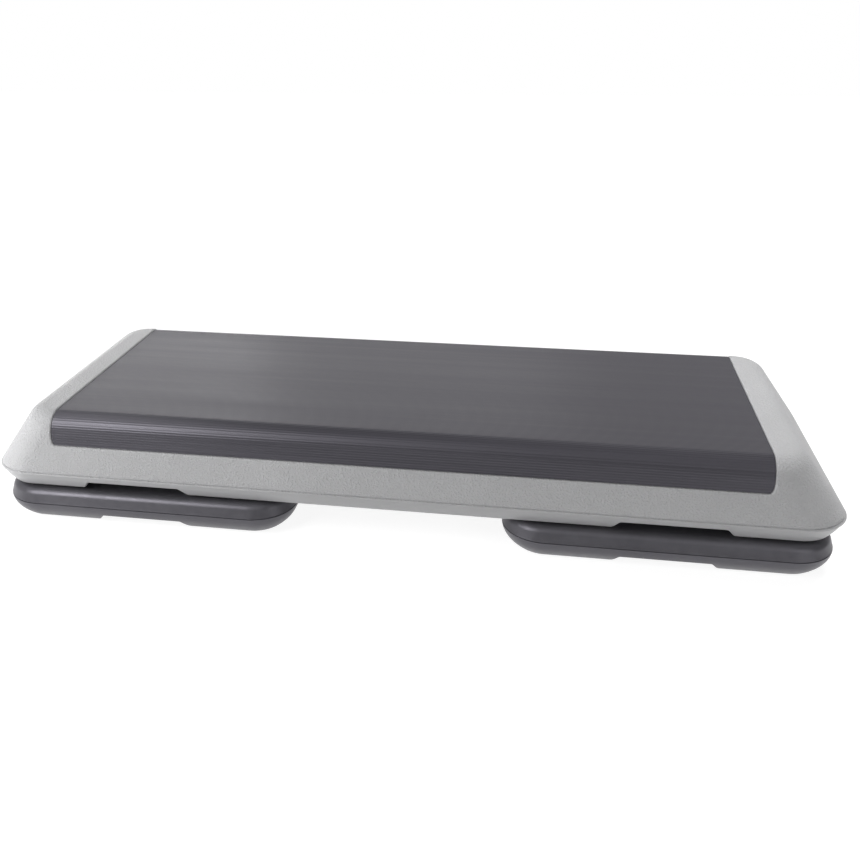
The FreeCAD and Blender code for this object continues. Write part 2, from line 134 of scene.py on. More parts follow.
# Sockets, notches, kiss-offs and foot seats
NEST_CLEARANCE = 2.0
SOCKET_EASE = 1.5
NOTCH_FLARE = 12.0
DECK_NOTCH_HALF = 61.0
DECK_NOTCH_HEIGHT = 12.0
DECK_NOTCH_SHIFT = 6.0
DECK_NOTCH_X = RISER_X + DECK_NOTCH_SHIFT
RISER_NOTCH_HALF = 53.0
RISER_NOTCH_HEIGHT = 12.5
KISS_END_SIDE = 18.0
KISS_CORNER = 3.0
KISS_DRAFT = math.tan(math.radians(7.0))
KISS_STEPS = (-1, 0, 1)
RISER_KISS_SHARE = 0.314
CENTRE_KISS_X_SHARE = 0.28
CENTRE_KISS_Y_SHARE = 0.266
RISER_KISS_PITCH = RISER_KISS_SHARE * 2 * PLATEAU_HALF
CENTRE_KISS_PITCH_X = CENTRE_KISS_X_SHARE * 2 * (RISER_X - PLATEAU_HALF)
CENTRE_KISS_PITCH_Y = CENTRE_KISS_Y_SHARE * 2 * DECK_HALF_Y
DECK_SKIN = 3.5
RISER_SKIN = 2.5
SEAT_CORNER = 5.0
SEAT_DEPTH = 2.5
SEAT_CLEARANCE = 0.15
OVERRUN = 4.0

# Fineness of the meshes: steps on arcs, and the narrow strip that parts a flat from a round edge
ARC_STEPS = 16
EDGE_STEPS = 10
LEDGE_STEPS = 6
SMALL_STEPS = 4
WALL_STEPS = 6
NOTCH_STEPS = 3
FLARE_STEPS = 8
RIB_SAMPLES = 6
EDGE_STRIP = 2.0
TOP_INSETS = (EDGE_STRIP, EDGE_STRIP / 4)
NOTCH_STRIP = 4.0
SLOPE_STEP = 0.1
WELD_DISTANCE = 1e-4
SMOOTH_ANGLE = math.radians(38.0)

# Where plain stretches have columns, from the middle of a side, and rings, from the floor. The
# shares are of the window's corner and of the mat's half length.
DECK_SIDE_STATIONS = (0.0, 60.0, 120.0, 180.0, 225.0)
DECK_END_STATIONS = (0.0, 50.0, 100.0)
RISER_SIDE_STATIONS = (85.0, 98.0)
DECK_SIDE_HEIGHTS = (98.0, 90.0, 82.0)
WINDOW_SHARES = (0, 0.17, 0.34, 0.52, 0.7, 0.87, 0.99)
MAT_SHARES = (-1, -0.995, -0.6, 0, 0.6, 0.995, 1)

# An underside runs in from the lower edge, and then level to its half sizes and corner radius
UNDER_INSET = 5.0
UNDER_END_MARGIN = 66.0
UNDER_CORNER_RADIUS = 8.0
UNDER_HALF = PLATEAU_HALF - EDGE_STRIP
DECK_UNDER_SIZES = (DECK_HALF_X - UNDER_END_MARGIN, UNDER_HALF, UNDER_CORNER_RADIUS)
RISER_UNDER_SIZES = (UNDER_HALF, UNDER_HALF, PLATEAU_CORNER_RADIUS)


# Meshes


def new_piece(name, points, faces):
    """A mesh object from points in millimetres, with its faces looking outwards."""
    mesh = bpy.data.meshes.new(name)
    mesh.from_pydata([Vector(point) * MM for point in points], [], faces)
    work = bmesh.new()
    work.from_mesh(mesh)
    bmesh.ops.remove_doubles(work, verts=work.verts, dist=WELD_DISTANCE * MM)
    bmesh.ops.recalc_face_normals(work, faces=work.faces)
    work.to_mesh(mesh)
    work.free()
    piece = bpy.data.objects.new(name, mesh)
    bpy.context.scene.collection.objects.link(piece)
    return piece


def smooth(piece):
    """Smooth shading, with edges sharper than an angle left as edges."""
    piece.data.shade_smooth()
    piece.data.set_sharp_from_angle(angle=SMOOTH_ANGLE)


def skin(rings):
    """The points of some rings of as many points each, and the quads between them."""
    count = len(rings[0])
    points = [point for ring in rings for point in ring]
    faces = []
    for row in range(len(rings) - 1):
        low, high = row * count, (row + 1) * count
        for spot in range(count):
            after = (spot + 1) % count
            faces.append((low + spot, low + after, high + after, high + spot))
    return points, faces


def first_face(count):
    """The face that closes a skin's first ring."""
    return tuple(range(count))


def last_face(points, count):
    """The face that closes a skin's last ring."""
    return tuple(range(len(points) - count, len(points)))


def columns(stations_x, stations_y):
    """The columns of a moulding's skin, anticlockwise from above: sides in turn with corners.

    A column is its kind, its side of the middle, and its station or, on a corner, its angle.
    """
    shares = [step / ARC_STEPS for step in range(ARC_STEPS + 1)]
    sides = (
        ("x", -1, stations_x),
        ("y", 1, stations_y),
        ("x", 1, stations_x[::-1]),
        ("y", -1, stations_y[::-1]),
    )
    corners = ((1, -1), (1, 1), (-1, 1), (-1, -1))
    found = []
    for turn, (kind, side, stations) in enumerate(sides):
        found += [(kind, side, station) for station in stations]
        found += [("corner", corners[turn], (turn - 1 + share) * math.pi / 2) for share in shares]
    return found


def place(column, half_x, half_y, radius):
    """Where a column meets a rounded rectangle."""
    kind, side, value = column
    if kind == "x":
        return value, side * half_y
    if kind == "y":
        return side * half_x, value
    x = side[0] * (half_x - radius) + radius * math.cos(value)
    y = side[1] * (half_y - radius) + radius * math.sin(value)
    return x, y


def level_ring(rim, sizes, z):
    """A ring of a skin at one height, by its half length, half width and corner radius."""
    return [(*place(column, *sizes), z) for column in rim]


def profile_rings(rim, profiles, sizes):
    """The rings through profiles of (inset, height), one for each column, inside a rim's sizes."""
    rings = []
    for row in range(len(profiles[0])):
        ring = []
        for column, profile in zip(rim, profiles):
            inset, z = profile[row]
            ring.append((*place(column, *[size - inset for size in sizes]), z))
        rings.append(ring)
    return rings


def under_rings(rim, profiles, base_z, sizes):
    """The underside's last rings: in over the notches, then level with the base."""
    inner = [place(column, *sizes) for column in rim]
    notched = [(*spot, profile[-1][1]) for spot, profile in zip(inner, profiles)]
    level = [(*spot, base_z) for spot in inner]
    return [notched, level]


def both_ways(values):
    """Stations on both sides of a middle, in rising order."""
    return sorted({side * value for value in values for side in (-1, 1)})


def bulge(height, share):
    """How far a shallow arch of a height stands out at a share of its span."""
    return 4 * height * share * (1 - share)


def notch_height(distance, half, height):
    """How far a finger notch lifts the lower edge at a distance from the notch's middle."""
    share = min(max((half + NOTCH_FLARE - distance) / NOTCH_FLARE, 0), 1)
    return height * share * share * (3 - 2 * share)


def notch_stations(half):
    """Distances from a notch's middle at which its roof and its flared sides need a column."""
    roof = [half * step / NOTCH_STEPS for step in range(NOTCH_STEPS)]
    flare = [half + NOTCH_FLARE * step / FLARE_STEPS for step in range(FLARE_STEPS + 1)]
    return roof + [half - NOTCH_STRIP] + flare + [half + NOTCH_FLARE + NOTCH_STRIP]


def rounded_corner(corner, towards, away, radius):
    """The points of an arc that rounds the corner of a profile, given its two directions."""
    towards, away = Vector(towards).normalized(), Vector(away).normalized()
    turn = towards.angle(away)
    trim = radius * math.tan(turn / 2)
    start = Vector(corner) - towards * trim
    inward = (away - towards * away.dot(towards)).normalized()
    points = []
    for step in range(SMALL_STEPS + 1):
        angle = turn * step / SMALL_STEPS
        points.append(start + radius * (math.sin(angle) * towards + (1 - math.cos(angle)) * inward))
    return [tuple(point) for point in points]


def wall_and_edge(inset_at, top_z, low_z, radius):
    """A profile's wall below a height, and its lower edge, rounded into a flat run underneath.

    The wall's inset is a function of the height.
    """
    corner = (inset_at(low_z), low_z)
    towards = (inset_at(low_z) - inset_at(low_z + SLOPE_STEP), -SLOPE_STEP)
    edge = rounded_corner(corner, towards, (1, 0), radius)
    wall = []
    for step in range(1, WALL_STEPS):
        z = top_z + (edge[0][1] - top_z) * step / WALL_STEPS
        wall.append((inset_at(z), z))
    return wall + edge + [(edge[-1][0] + UNDER_INSET, low_z)]


# Cuts


def block(levels, middle):
    """A closed block through levels of (half side, corner radius, height), as a cutting tool."""
    rim = columns([0], [0])
    rings = []
    for half, radius, z in levels:
        ring = [place(column, half, half, radius) for column in rim]
        rings.append([(x + middle[0], y + middle[1], z) for x, y in ring])
    points, faces = skin(rings)
    count = len(rim)
    return points, faces + [first_face(count), last_face(points, count)]


def joined(parts):
    """Several meshes as one."""
    points, faces = [], []
    for part_points, part_faces in parts:
        shift = len(points)
        points += part_points
        faces += [tuple(index + shift for index in face) for face in part_faces]
    return points, faces


def cut(piece, tools):
    """Cut away some blocks, which lie clear of each other."""
    tool = new_piece("cutting_tool", *joined(tools))
    modifier = piece.modifiers.new("cut", "BOOLEAN")
    modifier.operation = "DIFFERENCE"
    modifier.solver = "EXACT"
    modifier.object = tool
    bpy.context.view_layer.update()
    shape = piece.evaluated_get(bpy.context.evaluated_depsgraph_get())
    mesh = bpy.data.meshes.new_from_object(shape)
    piece.modifiers.remove(modifier)
    old, piece.data = piece.data, mesh
    bpy.data.meshes.remove(old)
    bpy.data.objects.remove(tool)
    mesh.name = piece.name


def kiss_off(x, y, mouth_z, end_z):
    """The tapered hollow of a kiss-off, with an eased mouth."""
    eased_z = mouth_z + SOCKET_EASE
    end = KISS_END_SIDE / 2
    eased = end + (end_z - eased_z) * KISS_DRAFT
    mouth = end + (end_z - mouth_z) * KISS_DRAFT
    levels = [
        (mouth + SOCKET_EASE + OVERRUN, KISS_CORNER + OVERRUN, mouth_z - OVERRUN),
        (eased, KISS_CORNER, eased_z),
        (end, KISS_CORNER, end_z),
    ]
    return block(levels, (x, y))


def kiss_grid(pitch_x, pitch_y):
    """The places of a square number of kiss-offs round a middle."""
    return [(along * pitch_x, across * pitch_y) for along in KISS_STEPS for across in KISS_STEPS]


def socket(x, mouth_z, roof_z):
    """The hollow of a socket that a plateau nests in, with an eased mouth."""
    half = PLATEAU_HALF + NEST_CLEARANCE
    radius = PLATEAU_CORNER_RADIUS + NEST_CLEARANCE
    spread = PLATEAU_DRAFT * (roof_z - mouth_z) / (PLATEAU_Z - SHOULDER_Z)
    levels = [
        (half + spread + SOCKET_EASE + OVERRUN, radius + OVERRUN, mouth_z - OVERRUN),
        (half + spread, radius, mouth_z + SOCKET_EASE),
        (half, radius, roof_z),
    ]
    return block(levels, (x, 0))


def foot_seat(node, mouth_z):
    """The seat that a packed foot's pad sits in."""
    low, high = node_box(node)
    half = (high.x - low.x) / 2 + SEAT_CLEARANCE
    middle = (low.x + high.x) / 2, (low.y + high.y) / 2
    levels = [(half, SEAT_CORNER, mouth_z - OVERRUN), (half, SEAT_CORNER, mouth_z + SEAT_DEPTH)]
    return block(levels, middle)


def feet_of(body):
    """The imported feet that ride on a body."""
    members = frame["record"]["behaviour"]["bodies"][body]
    return [node for node in members if "foot" in node]


# Deck


def side_at(half, lean, z):
    """Half the deck's size at a height, on a leaning side that rounds into the top."""
    slope = lean / SIDE_HEIGHT
    angle = math.atan(slope)
    centre = half - (EDGE_CENTRE_Z - DECK_PARTING_Z) * slope - TOP_EDGE_RADIUS / math.cos(angle)
    rise = z - EDGE_CENTRE_Z
    if rise > TOP_EDGE_RADIUS * math.sin(angle):
        return centre + math.sqrt(max(TOP_EDGE_RADIUS**2 - rise**2, 0))
    return half - (z - DECK_PARTING_Z) * slope


def deck_level(z):
    """Half length, half width and corner radius of the deck at a height above the parting line."""
    half_x = side_at(DECK_HALF_X, END_LEAN, z)
    half_y = side_at(DECK_HALF_Y, LONG_SIDE_LEAN, z)
    share = (z - DECK_PARTING_Z) / SIDE_HEIGHT
    plane_y = DECK_HALF_Y - LONG_SIDE_LEAN * share
    radius = DECK_CORNER_RADIUS + (TOP_CORNER_RADIUS - DECK_CORNER_RADIUS) * share
    radius -= plane_y - half_y
    last_station = WINDOW_CENTRE_X + WINDOW_WIDTH + WINDOW_REACH
    return half_x, half_y, min(radius, half_x - last_station - EDGE_STRIP / 2)


def side_normal(z):
    """The outward direction of the deck's back long side at a height, as (y, z)."""
    angle = math.atan(LONG_SIDE_LEAN / SIDE_HEIGHT)
    rise = (z - EDGE_CENTRE_Z) / TOP_EDGE_RADIUS
    if rise > math.sin(angle):
        angle = math.asin(min(rise, 1))
    return math.cos(angle), math.sin(angle)


def ledge_offsets(size):
    """Distances past the start of the window's corner, of a size, that the ledge's lines run at."""
    outside = []
    for step in range(LEDGE_STEPS + 1):
        angle = math.pi / 2 * (1 - step / LEDGE_STEPS)
        outside.append(LEDGE_RADIUS * (1 - math.sin(angle)))
    outside.append(WINDOW_REACH)
    return [share * size for share in WINDOW_SHARES] + [size + far for far in outside]


def ledge_line(distance, size):
    """The ledge's line at a distance: its share of the corner's size, and how far it lies outside."""
    return min(distance / size, 1), max(distance - size, 0)


def recess_depth(line):
    """How deep the recess is on one of the ledge's lines."""
    share, outside = line
    if share < (WINDOW_SHARES[-1] + 1) / 2:
        return RECESS_DEPTH
    return LEDGE_RADIUS - math.sqrt(LEDGE_RADIUS**2 - max(LEDGE_RADIUS - outside, 0) ** 2)


def in_window(x, z):
    """A place on the long side moved onto the window's rounded lines, with the recess's depth."""
    across = ledge_line(abs(x) - WINDOW_CENTRE_X, WINDOW_WIDTH)
    down = ledge_line(WINDOW_CENTRE_Z - z, WINDOW_HEIGHT)
    line = max(across, down)
    share, outside = line
    # Past the ledge the lines run straight again
    if min(across, down)[0] > 0 and outside < (WINDOW_REACH + LEDGE_RADIUS) / 2:
        angle = math.atan2(down[0] + down[1] / WINDOW_WIDTH, across[0] + across[1] / WINDOW_WIDTH)
        cosine, sine = math.cos(angle), math.sin(angle)
        out = Vector((WINDOW_HEIGHT * cosine, WINDOW_WIDTH * sine)).normalized()
        spot = Vector((WINDOW_WIDTH * cosine, WINDOW_HEIGHT * sine)) * share + out * outside
        x = math.copysign(WINDOW_CENTRE_X + spot.x, x)
        z = WINDOW_CENTRE_Z - spot.y
    return x, z, recess_depth(line)


def deck_stations():
    """The columns of the deck's long sides."""
    stations = set(DECK_SIDE_STATIONS)
    stations |= {WINDOW_CENTRE_X + offset for offset in ledge_offsets(WINDOW_WIDTH)}
    for distance in notch_stations(DECK_NOTCH_HALF):
        stations |= {DECK_NOTCH_X + distance, DECK_NOTCH_X - distance}
    return both_ways(stations)


def deck_heights():
    """The heights of the rings on the deck's sides: round the top edge, by the ledge and below."""
    turn = math.pi / 2 - math.atan(LONG_SIDE_LEAN / SIDE_HEIGHT)
    heights = []
    for step in range(EDGE_STEPS + 1):
        heights.append(EDGE_CENTRE_Z + TOP_EDGE_RADIUS * math.cos(turn * step / EDGE_STEPS))
    heights += [WINDOW_CENTRE_Z - offset for offset in ledge_offsets(WINDOW_HEIGHT)]
    return heights + list(DECK_SIDE_HEIGHTS)


def top_ring(rim, inset):
    """A ring on the deck's flat top at an inset, sunk where the recess runs through."""
    sizes = [size - inset for size in deck_level(DECK_TOP_Z)]
    ring = []
    for column in rim:
        x, y = place(column, *sizes)
        depth = 0
        if column[0] == "x":
            depth = recess_depth(ledge_line(abs(x) - WINDOW_CENTRE_X, WINDOW_WIDTH))
        ring.append((x, y, DECK_TOP_Z - depth))
    return ring


def side_ring(rim, z):
    """A ring on the deck's sides at a height, sunk and moved into the window on the long sides."""
    ring = []
    for column in rim:
        kind, side, station = column
        if kind == "x":
            x, level_z, depth = in_window(station, z)
            out, up = side_normal(level_z)
            y = side * (deck_level(level_z)[1] - out * depth)
            ring.append((x, y, level_z - up * depth))
        else:
            ring.append((*place(column, *deck_level(z)), z))
    return ring


def groove_rings(rim):
    """The rings of the groove and the bead along the deck's parting line."""
    rings = []
    for inset, rise in GROOVE:
        z = DECK_PARTING_Z + rise
        rings.append(level_ring(rim, [size - inset for size in deck_level(z)], z))
    return rings


def lip_inset(z):
    """How far the lip lies inside the rim at a height."""
    share = (DECK_PARTING_Z - z) / LIP_HEIGHT
    return PARTING_STEP + (LIP_INSET - PARTING_STEP) * share - bulge(LIP_BULGE, share)


def lip_profile(column):
    """The profile below the deck's rim at a column: the bead's foot, the lip and its lower edge.

    Its points are pairs of an inset from the rim and a height.
    """
    kind, _, station = column
    low_z = LIP_Z
    if kind == "x":
        distance = abs(abs(station) - DECK_NOTCH_X)
        low_z += notch_height(distance, DECK_NOTCH_HALF, DECK_NOTCH_HEIGHT)
    foot = [(inset, DECK_PARTING_Z + rise) for inset, rise in BEAD_FOOT]
    return foot + wall_and_edge(lip_inset, foot[-1][1], low_z, LIP_EDGE_RADIUS)


def top_faces(count, side):
    """The faces of the deck's flat top, of a count of columns with so many on each long side."""
    front = list(range(side))
    back = list(reversed(range(count // 2, count // 2 + side)))
    faces = []
    for spot in range(side - 1):
        faces.append((front[spot], front[spot + 1], back[spot + 1], back[spot]))
    faces.append(tuple(range(front[-1], back[-1] + 1)))
    faces.append(tuple(range(back[0], count)) + (front[0],))
    return faces


def cut_deck(piece):
    """Cut the sockets, the feet's seats and the kiss-offs into the deck's underside."""
    sockets = [socket(side * RISER_X, LIP_Z, PLATEAU_Z) for side in (-1, 1)]
    cut(piece, sockets + [foot_seat(node, LIP_Z) for node in feet_of("platform")])
    end_z = DECK_TOP_Z - RECESS_DEPTH - DECK_SKIN
    centre = kiss_grid(CENTRE_KISS_PITCH_X, CENTRE_KISS_PITCH_Y)
    hollows = [kiss_off(x, y, LIP_Z, end_z) for x, y in centre]
    for side in (-1, 1):
        for x, y in kiss_grid(RISER_KISS_PITCH, RISER_KISS_PITCH):
            hollows.append(kiss_off(side * RISER_X + x, y, PLATEAU_Z, end_z))
    cut(piece, hollows)


def deck_moulding():
    """The deck, from the flat top down its sides to the lip and the underside."""
    stations = deck_stations()
    rim = columns(stations, both_ways(DECK_END_STATIONS))
    profiles = [lip_profile(column) for column in rim]
    rings = [top_ring(rim, inset) for inset in TOP_INSETS]
    rings += [side_ring(rim, z) for z in deck_heights()]
    rings += groove_rings(rim)
    rings += profile_rings(rim, profiles, (DECK_HALF_X, DECK_HALF_Y, DECK_CORNER_RADIUS))
    rings += under_rings(rim, profiles, LIP_Z, DECK_UNDER_SIZES)
    points, faces = skin(rings)
    count = len(rim)
    faces += top_faces(count, len(stations)) + [last_face(points, count)]
    piece = new_piece("deck_moulding", points, faces)
    cut_deck(piece)
    smooth(piece)
    return piece


# Mat


def tread_path():
    """The line of the mat's rib crests from the middle of the top down to its lower edge.

    It gives the line's length, and a function from a distance along it and a depth to (y, z).
    """
    slope = math.atan(LONG_SIDE_LEAN / SIDE_HEIGHT)
    centre_y = side_at(DECK_HALF_Y, LONG_SIDE_LEAN, DECK_TOP_Z)
    radius = TOP_EDGE_RADIUS - MAT_SINK - MAT_SETTLE
    turn = math.pi / 2 - slope
    side_top = EDGE_CENTRE_Z + radius * math.sin(slope)
    length = centre_y + radius * turn + (side_top - MAT_LOW.z) / math.cos(slope)

    def point(distance, depth):
        angle = min(max((distance - centre_y) / radius, 0), turn)
        down = max(distance - centre_y - radius * turn, 0)
        y = min(distance, centre_y) + (radius - depth) * math.sin(angle) + down * math.sin(slope)
        return y, EDGE_CENTRE_Z + (radius - depth) * math.cos(angle) - down * math.cos(slope)

    return length, point


def ribbed_mat():
    """The mat, with rounded ribs along the deck on its outside and a plain back."""
    length, point = tread_path()
    count = 2 * round(length / RIB_PITCH) * RIB_SAMPLES
    rows = []
    for step in range(count + 1):
        distance = (step / count * 2 - 1) * length
        wave = 0.5 - 0.5 * math.cos(2 * math.pi * step / RIB_SAMPLES)
        y, z = point(abs(distance), RIB_DEPTH * wave)
        back_y, back_z = point(abs(distance), MAT_THICKNESS)
        drop = max(WINDOW_CENTRE_Z - point(abs(distance), 0)[1], 0) / MAT_CORNER_HEIGHT
        half = WINDOW_CENTRE_X + MAT_CORNER_WIDTH * math.sqrt(max(1 - drop**2, 0))
        side = math.copysign(1, distance)
        outer = [(share * half, side * y, z) for share in MAT_SHARES]
        inner = [(share * half, side * back_y, back_z) for share in reversed(MAT_SHARES)]
        rows.append(outer + inner)
    points, faces = skin(rows)
    width = len(rows[0])
    faces += [first_face(width), last_face(points, width)]
    piece = new_piece("ribbed_mat", points, faces)
    smooth(piece)
    return piece


# Risers


def plateau_levels():
    """The rings of a riser's plateau, down to the shoulder: half side, corner radius and height."""
    half = PLATEAU_HALF
    levels = [(half - PLATEAU_EDGE - EDGE_STRIP, PLATEAU_Z)]
    for step in range(SMALL_STEPS + 1):
        angle = math.pi / 2 * step / SMALL_STEPS
        rise = PLATEAU_EDGE * (1 - math.cos(angle))
        levels.append((half - PLATEAU_EDGE * (1 - math.sin(angle)), PLATEAU_Z - rise))
    foot = half + PLATEAU_DRAFT
    for step in range(SMALL_STEPS + 1):
        angle = math.pi / 2 * step / SMALL_STEPS
        out = PLATEAU_EDGE * (1 - math.cos(angle))
        levels.append((foot + out, SHOULDER_Z + PLATEAU_EDGE * (1 - math.sin(angle))))
    levels.append((foot + PLATEAU_EDGE + EDGE_STRIP, SHOULDER_Z))
    return [(size, PLATEAU_CORNER_RADIUS + size - half, z) for size, z in levels]


def riser_inset(z):
    """How far a riser's bulged lower half lies inside its parting line at a height."""
    share = (RISER_PARTING_Z - z) / (RISER_PARTING_Z - RISER_BASE_Z)
    return BASE_INSET * share - bulge(BASE_BULGE, share)


def riser_profile(column):
    """A riser's profile at a column, from its shoulder to its base.

    Its points are pairs of an inset from the rim and a height.
    """
    kind, _, station = column
    low_z = RISER_BASE_Z
    if kind != "corner":
        low_z += notch_height(abs(station), RISER_NOTCH_HALF, RISER_NOTCH_HEIGHT)
    shoulder = [(SHOULDER_INSET + SHOULDER_RADIUS + EDGE_STRIP, SHOULDER_Z)]
    for step in range(EDGE_STEPS + 1):
        angle = math.pi / 2 * (1 - step / EDGE_STEPS)
        z = SHOULDER_Z - SHOULDER_RADIUS * (1 - math.sin(angle))
        drawn = SHOULDER_INSET * (z - RISER_PARTING_Z) / (SHOULDER_Z - RISER_PARTING_Z)
        shoulder.append((drawn + SHOULDER_RADIUS * (1 - math.cos(angle)), z))
    seam = [(inset, RISER_PARTING_Z + rise) for inset, rise in RISER_SEAM]
    return shoulder + seam + wall_and_edge(riser_inset, seam[-1][1], low_z, BASE_EDGE_RADIUS)


def cut_riser(piece, node, middle):
    """Cut the stacking socket, the feet's seats and the kiss-offs into a riser's underside."""
    roof_z = PLATEAU_Z - LIP_Z
    seats = [foot_seat(foot, RISER_BASE_Z) for foot in feet_of(node)]
    cut(piece, [socket(middle, RISER_BASE_Z, roof_z)] + seats)
    places = kiss_grid(RISER_KISS_PITCH, RISER_KISS_PITCH)
    cut(piece, [kiss_off(middle + x, y, roof_z, PLATEAU_Z - RISER_SKIN) for x, y in places])


def riser_moulding(node):
    """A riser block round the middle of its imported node."""
    low, high = node_box(node)
    middle = (low.x + high.x) / 2
    stations = both_ways(notch_stations(RISER_NOTCH_HALF) + list(RISER_SIDE_STATIONS))
    rim = columns(stations, stations)
    profiles = [riser_profile(column) for column in rim]
    rings = [level_ring(rim, (half, half, radius), z) for half, radius, z in plateau_levels()]
    rings += profile_rings(rim, profiles, (RISER_HALF, RISER_HALF, RISER_CORNER_RADIUS))
    rings += under_rings(rim, profiles, RISER_BASE_Z, RISER_UNDER_SIZES)
    points, faces = skin(rings)
    count = len(rim)
    faces += [first_face(count), last_face(points, count)]
    points = [(x + middle, y, z) for x, y, z in points]
    piece = new_piece(f"{node}_moulding", points, faces)
    cut_riser(piece, node, middle)
    smooth(piece)
    return piece


# Nodes

WHITE = (1, 1, 1, 1)
WHOLE = (0.0, 1.0)
# The places of the colour sockets on a mix node
MIX_FIRST, MIX_SECOND, MIX_RESULT = 6, 7, 2


def feed(tree, entry, value):
    """Link a node's input to a socket, or set it to a plain value."""
    if isinstance(value, bpy.types.NodeSocket):
        tree.links.new(value, entry)
    else:
        entry.default_value = value


def add_node(tree, kind, inputs=None, **settings):
    """A new node with some settings, whose inputs are given by name or by place."""
    made = tree.nodes.new(kind)
    for name, value in settings.items():
        setattr(made, name, value)
    for name, value in (inputs or {}).items():
        feed(tree, made.inputs[name], value)
    return made


def combined(tree, operation, first, second):
    """The result of an operation on two values."""
    inputs = {0: first, 1: second}
    return add_node(tree, "ShaderNodeMath", inputs, operation=operation).outputs["Value"]


def ranged(tree, value, span, onto=WHOLE):
    """A value brought from one range onto another."""
    inputs = {
        "Value": value,
        "From Min": span[0],
        "From Max": span[1],
        "To Min": onto[0],
        "To Max": onto[1],
    }
    return add_node(tree, "ShaderNodeMapRange", inputs).outputs["Result"]


# Materials. A noise is its scale per metre, its detail and any stretch along the axes; a relief is
# its depth in millimetres and its strength. Each pair of greys, tones or roughnesses is the range
# that the noise goes through.

NOISE_SPAN = (0.3, 0.7)
SATIN_SPECULAR = 0.85
VIOLET_SHEEN = (0.92, 0.89, 1.0)


class Surface:
    """A procedural material that is built up from nodes."""

    def __init__(self, name, colour, roughness, specular=0.5, tint=(1, 1, 1)):
        self.material = bpy.data.materials.new(name)
        self.material.use_nodes = True
        self.tree = self.material.node_tree
        self.shader = self.tree.nodes["Principled BSDF"]
        self.set_input("Base Color", (*colour, 1))
        self.set_input("Roughness", roughness)
        self.set_input("Specular IOR Level", specular)
        self.set_input("Specular Tint", (*tint, 1))
        self.places = add_node(self.tree, "ShaderNodeTexCoord").outputs["Object"]

    def set_input(self, name, value):
        """Link or set one of the shader's own inputs."""
        feed(self.tree, self.shader.inputs[name], value)

    def coloured(self, share, colours):
        """Give the surface a colour between two, by a share."""
        first, second = colours
        inputs = {"Factor": share, MIX_FIRST: (*first, 1), MIX_SECOND: (*second, 1)}
        mix = add_node(self.tree, "ShaderNodeMix", inputs, data_type="RGBA")
        self.set_input("Base Color", mix.outputs[MIX_RESULT])

    def bumped(self, height, depth, strength):
        """Give the surface a relief."""
        inputs = {"Height": height, "Distance": depth * MM, "Strength": strength}
        self.set_input("Normal", add_node(self.tree, "ShaderNodeBump", inputs).outputs["Normal"])

    def noise(self, scale, detail, stretch=None):
        """Noise, which may be stretched along the axes."""
        places = self.places
        if stretch:
            inputs = {"Vector": places, "Scale": stretch}
            places = add_node(self.tree, "ShaderNodeMapping", inputs).outputs["Vector"]
        inputs = {"Vector": places, "Scale": scale, "Detail": detail}
        return add_node(self.tree, "ShaderNodeTexNoise", inputs).outputs["Fac"]

    def pebbles(self, scale, softness):
        """The distance from the middles of soft pebbles."""
        inputs = {"Vector": self.places, "Scale": scale, "Smoothness": softness}
        cells = add_node(self.tree, "ShaderNodeTexVoronoi", inputs, feature="SMOOTH_F1")
        return cells.outputs["Distance"]

    def height(self):
        """How high a place lies, in metres."""
        return add_node(self.tree, "ShaderNodeSeparateXYZ", {"Vector": self.places}).outputs["Z"]

    def ranged(self, value, span, onto=WHOLE):
        """A value brought from one range onto another."""
        return ranged(self.tree, value, span, onto)

    def sum(self, first, second):
        """Two values added up."""
        return combined(self.tree, "ADD", first, second)

    def product(self, first, second):
        """Two values multiplied."""
        return combined(self.tree, "MULTIPLY", first, second)


# Deck plastic: the grain sets in between two heights over the parting line, and the valleys between its
# pebbles are coloured darker as painted shade
DECK_GREYS = ((0.385, 0.385, 0.392), (0.435, 0.435, 0.443))
DECK_ROUGHNESS = 0.5
LIP_ROUGHNESS = 0.36
GRAIN_RISES = (-0.2, 0.6)
GRAIN_START = [(DECK_PARTING_Z + rise) * MM for rise in GRAIN_RISES]
DECK_CLOUD = (9.0, 4.0)
DECK_CLOUD_TONES = (0.0, 0.5)
DECK_CLOUD_ROUGHNESSES = (-0.03, 0.03)
PEBBLE_SCALE = 380.0
PEBBLE_SOFTNESS = 0.6
PEBBLE_SPAN = (0.1, 0.6)
PEBBLE_HEIGHTS = (1.0, 0.0)
FINE_GRAIN = (1100.0, 2.0)
FINE_GRAIN_HEIGHTS = (0.0, 0.4)
GRAIN_SPAN = (0.2, 1.2)
# Painted shade: how much darker the colour turns in the valleys between the pebbles
VALLEY_SHADE_TONES = (0.0, 0.5)
DECK_RELIEF = (0.55, 1.0)


def deck_plastic():
    """Grey plastic with a fine pebble grain above the parting line and smooth below it, with painted
    shade in the grain's valleys.
    """
    surface = Surface("deck_plastic", DECK_GREYS[0], DECK_ROUGHNESS)
    grained = surface.ranged(surface.height(), GRAIN_START)
    cloud = surface.noise(*DECK_CLOUD)
    coarse = surface.ranged(surface.pebbles(PEBBLE_SCALE, PEBBLE_SOFTNESS), PEBBLE_SPAN, PEBBLE_HEIGHTS)
    fine = surface.ranged(surface.noise(*FINE_GRAIN), NOISE_SPAN, FINE_GRAIN_HEIGHTS)
    grain = surface.product(surface.sum(coarse, fine), grained)
    cloud_tone = surface.ranged(cloud, NOISE_SPAN, DECK_CLOUD_TONES)
    # Painted shade: the lower the grain's relief, the darker the colour, so the valleys between pebbles
    # are shaded in the colour
    valley_shade = surface.ranged(grain, GRAIN_SPAN, VALLEY_SHADE_TONES)
    surface.coloured(surface.sum(cloud_tone, valley_shade), DECK_GREYS)
    surface.bumped(grain, *DECK_RELIEF)
    gloss = surface.ranged(grained, WHOLE, (LIP_ROUGHNESS, DECK_ROUGHNESS))
    cloud_gloss = surface.ranged(cloud, NOISE_SPAN, DECK_CLOUD_ROUGHNESSES)
    surface.set_input("Roughness", surface.sum(gloss, cloud_gloss))
    return surface.material


